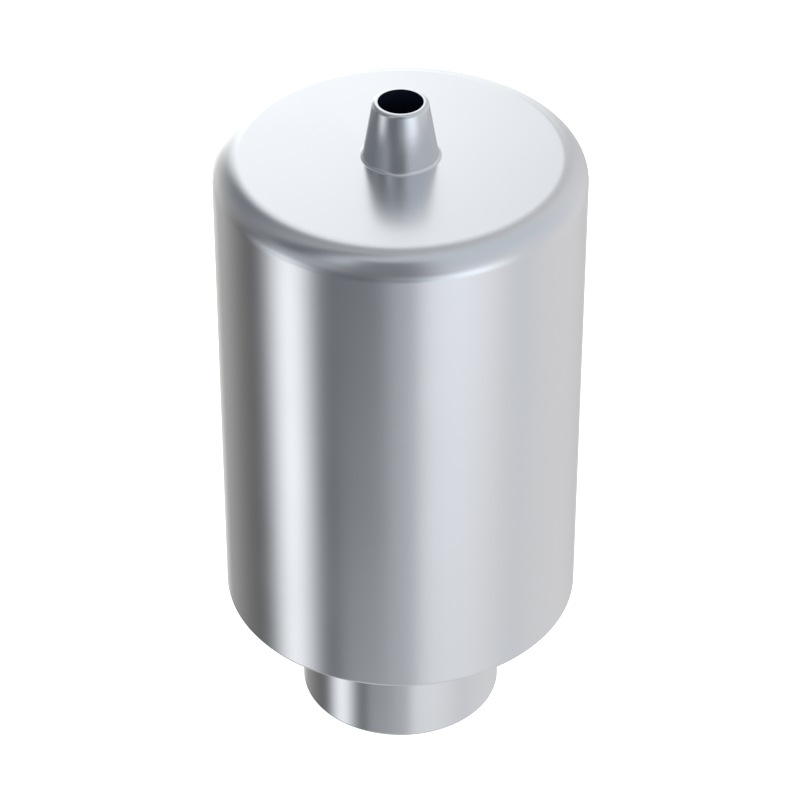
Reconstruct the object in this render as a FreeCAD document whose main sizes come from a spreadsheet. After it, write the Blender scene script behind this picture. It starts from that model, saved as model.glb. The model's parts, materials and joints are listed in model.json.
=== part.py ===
import FreeCAD, Part
import os
import Sketcher

# Pre-milled abutment blank: one piece turned from a bar of titanium alloy.
# It stands on the end of its holder stem. The origin is the centre of that end face,
# and +Z runs up the axis, through the body, to the tip of the implant connection.

doc = FreeCAD.newDocument("abutment")

# Driving dimensions, in millimetres and degrees

driving_sizes = [
    ("body_diameter", 14.0, "outside of the round body"),
    ("body_length", 20.0, "from the shoulder up to the platform face"),
    ("body_rounding", 1.0, "radius of the body's upper edge"),
    ("stem_diameter", 8.0, "outside of the holder stem"),
    ("stem_length", 5.3, "from the stem's end up to the shoulder"),
    ("cone_height", 2.29, "implant connection, above the platform face"),
    ("cone_half_angle", 9.5, "slope of the cone from the axis"),
    ("cone_tip_wall", 0.19, "metal round the bore at the cone's tip, before rounding"),
    ("cone_tip_rounding", 0.14, "radius of the cone's upper edge"),
    ("cone_foot_fillet", 0.12, "radius where the cone meets the platform face"),
    ("shank_bore_diameter", 1.7, "bore for the screw's thread and shank"),
    ("channel_diameter", 2.4, "wider channel for the screw's head and its driver"),
    ("channel_mouth_chamfer", 0.2, "lead-in at the stem's end"),
    ("seat_depth", 1.5, "from the platform face down to the screw seat"),
    ("seat_half_angle", 45.0, "slope of the conical screw seat from the axis"),
    ("edge_break", 0.1, "radius of the body's and the stem's lower edges"),
]

sheet = doc.addObject("Spreadsheet::Sheet", "sizes")
for row, (alias, value, meaning) in enumerate(driving_sizes, start=1):
    sheet.set("A%d" % row, meaning)
    sheet.set("B%d" % row, str(value))
    sheet.setAlias("B%d" % row, alias)
doc.recompute()

# Radii and heights of the turned rings, as expressions of the sheet's sizes

on_axis = "0"
stem_end = "0"
body_radius = "sizes.body_diameter / 2"
stem_radius = "sizes.stem_diameter / 2"
bore_radius = "sizes.shank_bore_diameter / 2"
channel_radius = "sizes.channel_diameter / 2"
cone_tip_radius = bore_radius + " + sizes.cone_tip_wall"
cone_foot_radius = cone_tip_radius + " + sizes.cone_height * tan(sizes.cone_half_angle * 1 deg)"
shoulder = "sizes.stem_length"
platform = shoulder + " + sizes.body_length"
cone_tip = platform + " + sizes.cone_height"
seat_top = platform + " - sizes.seat_depth"
seat_width = "(sizes.channel_diameter - sizes.shank_bore_diameter) / 2"
seat_bottom = seat_top + " - " + seat_width + " / tan(sizes.seat_half_angle * 1 deg)"


def measure(expression):
    """The number that an expression of the sheet's sizes comes to."""
    value = sheet.evalExpression(expression)
    return float(getattr(value, "Value", value))


def origin_plane(body, role):
    for feature in body.Origin.OriginFeatures:
        if feature.Role == role:
            return feature
    raise RuntimeError("no origin plane " + role)


def half_section(body, name, corners):
    """A closed outline beside the Z axis. Each corner is its name, radius and height."""
    sketch = body.newObject("Sketcher::SketchObject", name)
    sketch.AttachmentSupport = (origin_plane(body, "XZ_Plane"), [""])
    sketch.MapMode = "FlatFace"
    points = []
    for corner, radius, height in corners:
        points.append(FreeCAD.Vector(measure(radius), measure(height), 0))
    for start, end in zip(points, points[1:] + points[:1]):
        sketch.addGeometry(Part.LineSegment(start, end), False)
    for line in range(len(points)):
        following = (line + 1) % len(points)
        sketch.addConstraint(Sketcher.Constraint("Coincident", line, 2, following, 1))
    for line, (corner, radius, height) in enumerate(corners):
        place_corner(sketch, line, corner + "_radius", "DistanceX", radius)
        place_corner(sketch, line, corner + "_height", "DistanceY", height)
    return sketch


def place_corner(sketch, line, name, direction, expression):
    """Keeps the start of a line on the sketch's own axis, or at a distance that the sheet drives."""
    if expression == "0":
        sketch_axis = -2 if direction == "DistanceX" else -1
        sketch.addConstraint(Sketcher.Constraint("PointOnObject", line, 1, sketch_axis))
        return
    number = sketch.addConstraint(Sketcher.Constraint(direction, -1, 1, line, 1, measure(expression)))
    sketch.renameConstraint(number, name)
    sketch.setExpression("Constraints." + name, expression)


def full_turn(body, kind, name, sketch):
    """Turns a half section about the Z axis, to add metal or to cut it."""
    feature = body.newObject(kind, name)
    feature.Profile = (sketch, [""])
    feature.ReferenceAxis = (sketch, ["V_Axis"])
    feature.Angle = 360
    sketch.Visibility = False
    doc.recompute()
    return feature


def ring_edge(feature, radius, height):
    """The name of the round edge that has this radius and height."""
    tolerance = 0.001
    for number, edge in enumerate(feature.Shape.Edges, start=1):
        if not isinstance(edge.Curve, Part.Circle):
            continue
        radius_error = abs(edge.Curve.Radius - measure(radius))
        height_error = abs(edge.Curve.Center.z - measure(height))
        if max(radius_error, height_error) < tolerance:
            return "Edge%d" % number
    raise RuntimeError("no round edge of radius %s at height %s" % (radius, height))


def finish_edges(body, kind, name, size_property, alias, rings):
    """Rounds or chamfers the ring edges given by their radius and height."""
    base = body.Tip
    edges = [ring_edge(base, radius, height) for radius, height in rings]
    feature = body.newObject(kind, name)
    feature.Base = (base, edges)
    feature.setExpression(size_property, "sizes." + alias)
    doc.recompute()


body = doc.addObject("PartDesign::Body", "abutment_blank")
body.Label = "abutment_blank"
body.Placement = FreeCAD.Placement()

# Turned outside: holder stem, shoulder, body, platform face and the cone of the implant connection

outside = half_section(body, "outside_section", [
    ("stem_end_centre", on_axis, stem_end),
    ("stem_end_edge", stem_radius, stem_end),
    ("stem_root", stem_radius, shoulder),
    ("shoulder_edge", body_radius, shoulder),
    ("platform_edge", body_radius, platform),
    ("cone_foot", cone_foot_radius, platform),
    ("cone_tip", cone_tip_radius, cone_tip),
    ("tip_centre", on_axis, cone_tip),
])
turned_outside = full_turn(body, "PartDesign::Revolution", "turned_outside", outside)

# Screw channel: wide enough for the screw's head from the stem's end up to a conical seat,
# then a narrower bore for the thread and shank through the connection

channel = half_section(body, "channel_section", [
    ("mouth_centre", on_axis, stem_end),
    ("mouth_edge", channel_radius, stem_end),
    ("seat_outer_edge", channel_radius, seat_bottom),
    ("seat_inner_edge", bore_radius, seat_top),
    ("bore_end_edge", bore_radius, cone_tip),
    ("bore_end_centre", on_axis, cone_tip),
])
screw_channel = full_turn(body, "PartDesign::Groove", "screw_channel", channel)

# Rounded and broken edges

finish_edges(body, "PartDesign::Fillet", "rounded_upper_edge", "Radius", "body_rounding",
             [(body_radius, platform)])
finish_edges(body, "PartDesign::Fillet", "fillet_at_cone_foot", "Radius", "cone_foot_fillet",
             [(cone_foot_radius, platform)])
finish_edges(body, "PartDesign::Fillet", "rounded_cone_tip", "Radius", "cone_tip_rounding",
             [(cone_tip_radius, cone_tip)])
finish_edges(body, "PartDesign::Fillet", "broken_lower_edges", "Radius", "edge_break",
             [(stem_radius, stem_end), (body_radius, shoulder)])
finish_edges(body, "PartDesign::Chamfer", "channel_mouth", "Size", "channel_mouth_chamfer",
             [(channel_radius, stem_end)])

# Every feature has to be sound, and the channel has to have cut its own volume away

doc.recompute()
for item in doc.Objects:
    if "Invalid" in item.State or "Error" in item.State:
        raise RuntimeError(item.Label + " failed")
if body.Shape.isNull() or not body.Shape.isValid() or len(body.Shape.Solids) != 1:
    raise RuntimeError(body.Label + " is not one sound solid")
if screw_channel.Shape.Volume >= turned_outside.Shape.Volume:
    raise RuntimeError("the screw channel cut nothing")

os.makedirs("parts", exist_ok=True)
body.Shape.exportStep(os.path.join("parts", body.Label + ".step"))
box = body.Shape.optimalBoundingBox()
print("%s: %.2f x %.2f x %.2f mm" % (body.Label, box.XLength, box.YLength, box.ZLength))
print("volume %.1f mm3, of which the channel took %.1f" % (
    body.Shape.Volume, turned_outside.Shape.Volume - screw_channel.Shape.Volume))
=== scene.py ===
import json
import math

import bmesh
import bpy
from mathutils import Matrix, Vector


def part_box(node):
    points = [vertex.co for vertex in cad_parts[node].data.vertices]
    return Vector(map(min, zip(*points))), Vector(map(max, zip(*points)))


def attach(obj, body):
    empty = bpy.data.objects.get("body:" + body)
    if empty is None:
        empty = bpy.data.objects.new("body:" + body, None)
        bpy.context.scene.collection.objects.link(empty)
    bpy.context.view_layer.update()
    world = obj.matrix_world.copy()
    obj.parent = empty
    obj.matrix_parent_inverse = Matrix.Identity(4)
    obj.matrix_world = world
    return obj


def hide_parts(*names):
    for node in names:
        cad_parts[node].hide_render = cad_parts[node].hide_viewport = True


# A pre-milled abutment blank: one turned piece of satin titanium, on a pale floor under soft boxes.

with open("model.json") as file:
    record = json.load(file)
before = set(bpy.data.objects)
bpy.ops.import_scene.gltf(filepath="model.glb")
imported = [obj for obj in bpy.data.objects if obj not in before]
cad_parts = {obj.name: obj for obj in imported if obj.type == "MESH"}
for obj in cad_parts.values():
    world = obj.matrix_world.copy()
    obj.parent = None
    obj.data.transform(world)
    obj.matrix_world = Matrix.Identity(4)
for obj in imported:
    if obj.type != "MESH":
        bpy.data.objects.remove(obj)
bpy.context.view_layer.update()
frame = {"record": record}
blankLow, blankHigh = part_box("abutment_blank")
mounts = {mount["name"]: mount for mount in frame["record"]["mounts"]}
print("frame loaded, blank is %.2f mm tall" % ((blankHigh.z - blankLow.z) * 1000))

mm = 0.001


# Node helpers

def addNode(tree, kind, **settings):
    node = tree.nodes.new(kind)
    for name, value in settings.items():
        setattr(node, name, value)
    return node


def feed(tree, socket, value):
    # a link when the value is a socket, otherwise the socket's own value
    if isinstance(value, bpy.types.NodeSocket):
        tree.links.new(value, socket)
    else:
        socket.default_value = value


def mathNode(tree, operation, *values):
    node = addNode(tree, "ShaderNodeMath", operation=operation)
    for socket, value in zip(node.inputs, values):
        feed(tree, socket, value)
    return node.outputs[0]


def fadeNode(tree, value, start, end, low=0.0, high=1.0):
    # eases from low at start to high at end; start may be the larger one
    node = addNode(tree, "ShaderNodeMapRange", interpolation_type="SMOOTHSTEP")
    entries = {"Value": value, "From Min": start, "From Max": end, "To Min": low, "To Max": high}
    for name, entry in entries.items():
        feed(tree, node.inputs[name], entry)
    return node.outputs["Result"]


def separate(tree, vector):
    node = addNode(tree, "ShaderNodeSeparateXYZ")
    feed(tree, node.inputs[0], vector)
    return node.outputs


def noiseNode(tree, vector, scale, detail):
    node = addNode(tree, "ShaderNodeTexNoise")
    feed(tree, node.inputs["Vector"], vector)
    node.inputs["Scale"].default_value = scale
    node.inputs["Detail"].default_value = detail
    return node.outputs["Fac"]


def mixColours(tree, factor, first, second):
    node = addNode(tree, "ShaderNodeMix", data_type="RGBA")
    feed(tree, node.inputs["Factor"], factor)
    feed(tree, node.inputs["A"], first)
    feed(tree, node.inputs["B"], second)
    return node.outputs["Result"]


# Titanium

titaniumLook = {
    "colour": (0.709, 0.729, 0.756, 1),
    "paleColour": (0.721, 0.741, 0.768, 1),
    "roughness": 0.24,
    "roughnessDrift": 0.012,
    "driftSize": 5 * mm,
    "driftDetail": 1,
    "markSpacing": 0.09 * mm,      # from one of the tool's marks to the next
    "markDepth": 0.0006 * mm,
    "markDetail": 2,
    "drilledColour": (0.11, 0.15, 0.25, 1),      # painted shade on the walls of the bore and of the screw channel, dark and bluish
    "drilledRoughness": 0.42,
    "wallSlack": 0.001 * mm,      # the drilled finish and the painted shade reach this far into the metal
    "wallFade": 0.003 * mm,      # and fades out over this much more
    "seatFade": 0.002 * mm,      # over the seat's upper edge
}


def drilledFinishAndShadeMask(tree, look, radius, height):
    # 1 on the walls inside the bore and the channel, 0 on the turned outside; it sets their rougher finish
    # and their painted shade
    bore, channel = mounts["shank_bore"], mounts["screw_channel"]
    boreEnd = bore["dims"]["r_mm"] * mm + look["wallSlack"]
    channelEnd = channel["dims"]["r_mm"] * mm + look["wallSlack"]
    seatTop = bore["pos_m"][2] - bore["dims"]["length_mm"] * mm / 2
    inBore = fadeNode(tree, radius, boreEnd + look["wallFade"], boreEnd)
    inChannel = fadeNode(tree, radius, channelEnd + look["wallFade"], channelEnd)
    belowSeat = fadeNode(tree, height, seatTop + look["seatFade"], seatTop)
    return mathNode(tree, "MAXIMUM", inBore, mathNode(tree, "MULTIPLY", inChannel, belowSeat))


def makeTitanium(look):
    material = bpy.data.materials.new("titanium")
    material.use_nodes = True
    tree = material.node_tree
    shader = tree.nodes["Principled BSDF"]
    shader.inputs["Metallic"].default_value = 1

    place = addNode(tree, "ShaderNodeTexCoord").outputs["Object"]
    height = separate(tree, place)[2]
    flat = addNode(tree, "ShaderNodeVectorMath", operation="MULTIPLY")
    feed(tree, flat.inputs[0], place)
    flat.inputs[1].default_value = (1, 1, 0)
    away = addNode(tree, "ShaderNodeVectorMath", operation="LENGTH")
    feed(tree, away.inputs[0], flat.outputs[0])
    radius = away.outputs["Value"]

    # the tool's marks run round the axis, so they depend on radius and height alone
    turned = addNode(tree, "ShaderNodeCombineXYZ")
    feed(tree, turned.inputs["X"], radius)
    feed(tree, turned.inputs["Z"], height)
    marks = noiseNode(tree, turned.outputs[0], 1 / look["markSpacing"], look["markDetail"])
    bump = addNode(tree, "ShaderNodeBump")
    bump.inputs["Strength"].default_value = 1
    bump.inputs["Distance"].default_value = look["markDepth"]
    feed(tree, bump.inputs["Height"], marks)
    feed(tree, shader.inputs["Normal"], bump.outputs[0])

    # the finish drifts a little over the blank; the drilled walls are rougher, and are painted dark as
    # shade inside the bore and the channel
    drift = noiseNode(tree, place, 1 / look["driftSize"], look["driftDetail"])
    noiseLow, noiseHigh = 0.25, 0.75      # most of a noise lies between these
    drilledAndShaded = drilledFinishAndShadeMask(tree, look, radius, height)
    turnedColour = mixColours(tree, marks, look["colour"], look["paleColour"])
    # painted shade: the walls of the bore and the channel take a dark bluish colour in place of the
    # metal's own
    colour = mixColours(tree, drilledAndShaded, turnedColour, look["drilledColour"])
    smoothest = look["roughness"] - look["roughnessDrift"]
    roughest = look["roughness"] + look["roughnessDrift"]
    turnedRoughness = fadeNode(tree, drift, noiseLow, noiseHigh, smoothest, roughest)
    roughness = fadeNode(tree, drilledAndShaded, 0, 1, turnedRoughness, look["drilledRoughness"])
    feed(tree, shader.inputs["Base Color"], colour)
    feed(tree, shader.inputs["Roughness"], roughness)
    return material


titanium = makeTitanium(titaniumLook)
print("titanium made")


# The turned blank

blankShape = {
    "coneTipRadius": 1.04 * mm,
    "coneHeight": 2.29 * mm,
    "coneHalfAngle": math.radians(9.5),
    "bodyRounding": 1.0 * mm,
    "coneFootFillet": 0.12 * mm,
    "coneTipRounding": 0.14 * mm,
    "edgeBreak": 0.1 * mm,
    "mouthChamfer": 0.2 * mm,
    "seatDepth": 1.5 * mm,
    "flatMargin": 0.015 * mm,      # from a rounding to the corner that keeps its neighbour flat
    "turnSteps": 256,
    "mergeDistance": 0.0001 * mm,
    "sharpAngle": math.radians(25),      # edges that turn by more stay sharp in the shading
    "segments": {"edgeBreak": 4, "bodyRounding": 24, "coneFootFillet": 8, "coneTipRounding": 10},
}


def roundCorner(bm, corner, radius, segments):
    # the rounding starts where the arc touches the two lines
    lines = [edge.other_vert(corner).co - corner.co for edge in corner.link_edges]
    turn = math.pi - lines[0].angle(lines[1])
    arc = bmesh.ops.bevel(bm, geom=[corner], offset=radius * math.tan(turn / 2), offset_type="OFFSET",
                          affect="VERTICES", segments=segments, profile=0.5, material=-1)
    return arc["edges"]


def holdFlats(bm, arcs, margin):
    # a corner close to each end of a straight line keeps its shading flat in between
    for line in [edge for edge in bm.edges if edge not in arcs]:
        for end in line.verts[:]:
            bmesh.utils.edge_split(line, end, margin / line.calc_length())


def makeBlank(shape, material):
    bodyRadius = blankHigh.x
    stemRadius = mounts["holder_stem"]["dims"]["r_mm"] * mm
    channelRadius = mounts["screw_channel"]["dims"]["r_mm"] * mm
    boreRadius = mounts["shank_bore"]["dims"]["r_mm"] * mm
    shoulder = mounts["shoulder_face"]["pos_m"][2]
    platform = mounts["implant_connection"]["pos_m"][2]
    tip = platform + shape["coneHeight"]
    seatTop = platform - shape["seatDepth"]
    seatBottom = seatTop - (channelRadius - boreRadius)     # a 45 degree seat
    mouthRadius = channelRadius + shape["mouthChamfer"]
    coneFootRadius = shape["coneTipRadius"] + shape["coneHeight"] * math.tan(shape["coneHalfAngle"])

    # each corner of the half section: radius, height and, where it is rounded, the name of its size
    corners = [
        (mouthRadius, 0, None),
        (stemRadius, 0, "edgeBreak"),
        (stemRadius, shoulder, None),
        (bodyRadius, shoulder, "edgeBreak"),
        (bodyRadius, platform, "bodyRounding"),
        (coneFootRadius, platform, "coneFootFillet"),
        (shape["coneTipRadius"], tip, "coneTipRounding"),
        (boreRadius, tip, None),
        (boreRadius, seatTop, None),
        (channelRadius, seatBottom, None),
        (channelRadius, shape["mouthChamfer"], None),
    ]
    bm = bmesh.new()
    ring = [bm.verts.new((radius, 0, height)) for radius, height, rounding in corners]
    for start, end in zip(ring, ring[1:] + ring[:1]):
        bm.edges.new((start, end))
    arcs = set()
    for corner, (radius, height, rounding) in zip(ring, corners):
        if rounding:
            arcs.update(roundCorner(bm, corner, shape[rounding], shape["segments"][rounding]))
    holdFlats(bm, arcs, shape["flatMargin"])
    bmesh.ops.spin(bm, geom=bm.verts[:] + bm.edges[:], cent=(0, 0, 0), axis=(0, 0, 1),
                   angle=math.tau, steps=shape["turnSteps"], use_merge=True)
    bmesh.ops.remove_doubles(bm, verts=bm.verts, dist=shape["mergeDistance"])
    bmesh.ops.recalc_face_normals(bm, faces=bm.faces)
    for face in bm.faces:
        face.smooth = True
    for edge in bm.edges:
        edge.smooth = edge.calc_face_angle(0) < shape["sharpAngle"]
    mesh = bpy.data.meshes.new("titaniumBlank")
    bm.to_mesh(mesh)
    bm.free()
    mesh.materials.append(material)
    blank = bpy.data.objects.new("titaniumBlank", mesh)
    bpy.context.scene.collection.objects.link(blank)
    return blank


blank = makeBlank(blankShape, titanium)
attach(blank, "root")
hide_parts("abutment_blank")
print("blank turned, %d faces" % len(blank.data.polygons))


# Floor

floorLook = {
    "size": 6.0,      # metres, far wider than the blank
    "drop": 0.01 * mm,      # clear of the blank's underside
    "colour": (1, 1, 1, 1),
    "ownLight": 1.0,      # enough to come out plain white, as the backdrop does
}


def makeFloor(look):
    bm = bmesh.new()
    bmesh.ops.create_grid(bm, x_segments=1, y_segments=1, size=look["size"] / 2)
    mesh = bpy.data.meshes.new("floor")
    bm.to_mesh(mesh)
    bm.free()
    material = bpy.data.materials.new("floorWhite")
    material.use_nodes = True
    shader = material.node_tree.nodes["Principled BSDF"]
    shader.inputs["Base Color"].default_value = look["colour"]
    shader.inputs["Roughness"].default_value = 1
    shader.inputs["Specular IOR Level"].default_value = 0
    shader.inputs["Emission Color"].default_value = look["colour"]
    shader.inputs["Emission Strength"].default_value = look["ownLight"]
    mesh.materials.append(material)
    floor = bpy.data.objects.new("floor", mesh)
    bpy.context.scene.collection.objects.link(floor)
    floor.location.z = -look["drop"]
    floor.visible_glossy = False      # the soft boxes below the blank light it through the floor
    floor.visible_diffuse = False
    floor.visible_shadow = False
    return floor


floor = makeFloor(floorLook)
print("floor laid")


# Soft boxes and flags, as windows in the world around the blank. Azimuth 0 is towards the camera and
# +90 to its right. Each one covers those before it, and its sides and ends fade over the soft widths.
# Their values are a scratch program's fit to the photograph's shading, rounded, and not set by hand.

surroundings = {"lamps": (0.96, 0.976, 1.002), "fill": 0.489, "backdrop": 1.0}
softBoxes = {
    "lowFill": {      # a band all the way round, so it has no sides
        "elevation": -75.5, "height": 69.5, "softEnds": 3.5, "light": 0.699, "tint": (0.96, 1.01, 1),
    },
    "rightWall": {
        "azimuth": 69, "elevation": 0.5, "width": 179.5, "height": 116,
        "softSides": 80, "softEnds": 80, "light": 0.866, "tint": (1.04, 0.99, 0.96),
    },
    "ceilingRight": {
        "azimuth": 57, "elevation": 45.5, "width": 128.5, "height": 92.5,
        "softSides": 80, "softEnds": 80, "light": 0.714, "tint": (0.97, 1, 1.04),
    },
    "backHigh": {
        "azimuth": -167.5, "elevation": 44, "width": 36.5, "height": 11.5,
        "softSides": 37, "softEnds": 36.5, "light": 1.78, "tint": (1, 1, 0.99),
    },
    "backPanel": {
        "azimuth": -165, "elevation": 0.5, "width": 37, "height": 61.5,
        "softSides": 10.5, "softEnds": 6, "light": 2.25, "tint": (1.01, 1, 0.97),
    },
    "leftFlag": {
        "azimuth": -97.5, "elevation": 33, "width": 127, "height": 54.5,
        "softSides": 41.5, "softEnds": 44, "light": 0.22, "tint": (0.96, 1.01, 1.07),
    },
    "sideFlag": {
        "azimuth": -97, "elevation": -27, "width": 112.5, "height": 65.5,
        "softSides": 8.5, "softEnds": 51, "light": 0.0387, "tint": (1.07, 0.99, 0.86),
    },
    "backLeft": {
        "azimuth": -143.5, "elevation": -13.5, "width": 34, "height": 45,
        "softSides": 79, "softEnds": 59.5, "light": 1.12, "tint": (1.04, 0.99, 0.94),
    },
    "stripe": {
        "azimuth": -25, "elevation": 39, "width": 11.5, "height": 43,
        "softSides": 62, "softEnds": 30, "light": 2.07, "tint": (1, 1, 1.04),
    },
    "slantStrip": {
        "azimuth": -47.5, "elevation": 2.5, "width": 65.5, "height": 48,
        "softSides": 16, "softEnds": 36, "light": 0.467, "tint": (0.98, 1, 1.02),
    },
    "frontFlag": {
        "azimuth": -9, "elevation": 27, "width": 52.5, "height": 68,
        "softSides": 25, "softEnds": 20.5, "light": 0.241, "tint": (0.98, 1, 1.04),
    },
    "lowFlag": {
        "azimuth": -52, "elevation": -23.5, "width": 97.5, "height": 38.5,
        "softSides": 5, "softEnds": 16.5, "light": 0.163, "tint": (0.99, 1, 1.07),
    },
    "leftStrip": {
        "azimuth": -69, "elevation": -15.5, "width": 14, "height": 15.5,
        "softSides": 50, "softEnds": 26.5, "light": 2.08, "tint": (0.99, 1, 1.01),
    },
    "hotStrip": {
        "azimuth": -73, "elevation": -37, "width": 26, "height": 22.5,
        "softSides": 25, "softEnds": 17.5, "light": 1.5, "tint": (1.01, 1, 0.98),
    },
    "lowRight": {
        "azimuth": 27, "elevation": -17.5, "width": 51.5, "height": 15.5,
        "softSides": 43.5, "softEnds": 45.5, "light": 2.19, "tint": (0.96, 1.01, 1.06),
    },
    "frontGlow": {
        "azimuth": 2.5, "elevation": -54.5, "width": 17, "height": 74,
        "softSides": 13.5, "softEnds": 3, "light": 0.52, "tint": (0.99, 1, 1.02),
    },
    "coneShade": {
        "azimuth": 3, "elevation": -11, "width": 35.5, "height": 36,
        "softSides": 80, "softEnds": 3.5, "light": 0.181, "tint": (0.97, 1.01, 1.03),
    },
    "backLow": {
        "azimuth": -176.5, "elevation": -30.5, "width": 37.5, "height": 21.5,
        "softSides": 3.5, "softEnds": 5, "light": 0.95, "tint": (1.06, 0.99, 0.89),
    },
    "backRight": {
        "azimuth": 177.5, "elevation": 5, "width": 23, "height": 37.5,
        "softSides": 18.5, "softEnds": 4.5, "light": 1.27, "tint": (1.01, 1, 0.96),
    },
    "wallSeam": {
        "azimuth": 79.5, "elevation": -13.5, "width": 21.5, "height": 80.5,
        "softSides": 8.5, "softEnds": 4.5, "light": 0.77, "tint": (1.01, 1, 1),
    },
    "leftShade": {
        "azimuth": -72, "elevation": 52, "width": 21, "height": 63.5,
        "softSides": 21, "softEnds": 26.5, "light": 0.0885, "tint": (0.92, 1.01, 1.17),
    },
    "leftGlow": {
        "azimuth": -92.5, "elevation": 71, "width": 35.5, "height": 68.5,
        "softSides": 45.5, "softEnds": 78, "light": 0.456, "tint": (0.99, 1, 1.01),
    },
}


def spanNode(tree, angle, size, soft):
    # 1 within half the size of angle 0, easing to 0 over the soft width
    offset = mathNode(tree, "ABSOLUTE", angle)
    return fadeNode(tree, offset, math.radians(size + soft) / 2, math.radians(size - soft) / 2)


def windowNodes(tree, direction, box):
    # 1 inside the box, easing to 0 over its soft ends and sides
    angleUp = mathNode(tree, "ARCSINE", separate(tree, direction)[2])
    upwards = mathNode(tree, "SUBTRACT", angleUp, math.radians(box["elevation"]))
    betweenEnds = spanNode(tree, upwards, box["height"], box["softEnds"])
    if "width" not in box:
        return betweenEnds
    turned = addNode(tree, "ShaderNodeVectorRotate", rotation_type="Z_AXIS")
    feed(tree, turned.inputs["Vector"], direction)
    turned.inputs["Angle"].default_value = -math.radians(box["azimuth"])
    right, back = separate(tree, turned.outputs[0])[:2]
    sideways = mathNode(tree, "ARCTAN2", right, mathNode(tree, "MULTIPLY", back, -1.0))
    betweenSides = spanNode(tree, sideways, box["width"], box["softSides"])
    return mathNode(tree, "MULTIPLY", betweenSides, betweenEnds)


def lightTheWorld(settings, boxes):
    world = bpy.data.worlds.new("studio")
    bpy.context.scene.world = world
    world.use_nodes = True
    tree = world.node_tree
    tree.nodes.clear()
    direction = addNode(tree, "ShaderNodeTexCoord").outputs["Generated"]
    light = [settings["fill"] * lamp for lamp in settings["lamps"]] + [1]
    for box in boxes.values():
        boxLight = [box["light"] * lamp * tint for lamp, tint in zip(settings["lamps"], box["tint"])] + [1]
        light = mixColours(tree, windowNodes(tree, direction, box), light, boxLight)
    studio = addNode(tree, "ShaderNodeBackground")
    feed(tree, studio.inputs["Color"], light)
    backdrop = addNode(tree, "ShaderNodeBackground")
    backdrop.inputs["Color"].default_value = (settings["backdrop"],) * 3 + (1,)
    seen = addNode(tree, "ShaderNodeLightPath").outputs["Is Camera Ray"]
    mixed = addNode(tree, "ShaderNodeMixShader")
    feed(tree, mixed.inputs["Fac"], seen)
    feed(tree, mixed.inputs[1], studio.outputs[0])
    feed(tree, mixed.inputs[2], backdrop.outputs[0])
    output = addNode(tree, "ShaderNodeOutputWorld")
    feed(tree, output.inputs["Surface"], mixed.outputs[0])


lightTheWorld(surroundings, softBoxes)
bpy.context.scene.view_settings.view_transform = "Standard"
print("%d soft boxes hung" % len(softBoxes))


# Camera

cameraPlace = {
    "aim": Vector((-0.021 * mm, 0, 13.985 * mm)),
    "distance": 132.5175 * mm,
    "elevation": math.radians(36.5821),
    "lens": 152.96,      # millimetres, as the sensor's width is
    "sensor": 36,
    "clipStart": 1 * mm,
}


def makeCamera(place):
    data = bpy.data.cameras.new("camera")
    data.lens = place["lens"]
    data.sensor_width = place["sensor"]
    data.clip_start = place["clipStart"]
    camera = bpy.data.objects.new("camera", data)
    bpy.context.scene.collection.objects.link(camera)
    back = Vector((0, -math.cos(place["elevation"]), math.sin(place["elevation"]))) * place["distance"]
    camera.location = place["aim"] + back
    camera.rotation_euler = (-back).to_track_quat("-Z", "Y").to_euler()
    bpy.context.scene.camera = camera


makeCamera(cameraPlace)
print("camera placed")
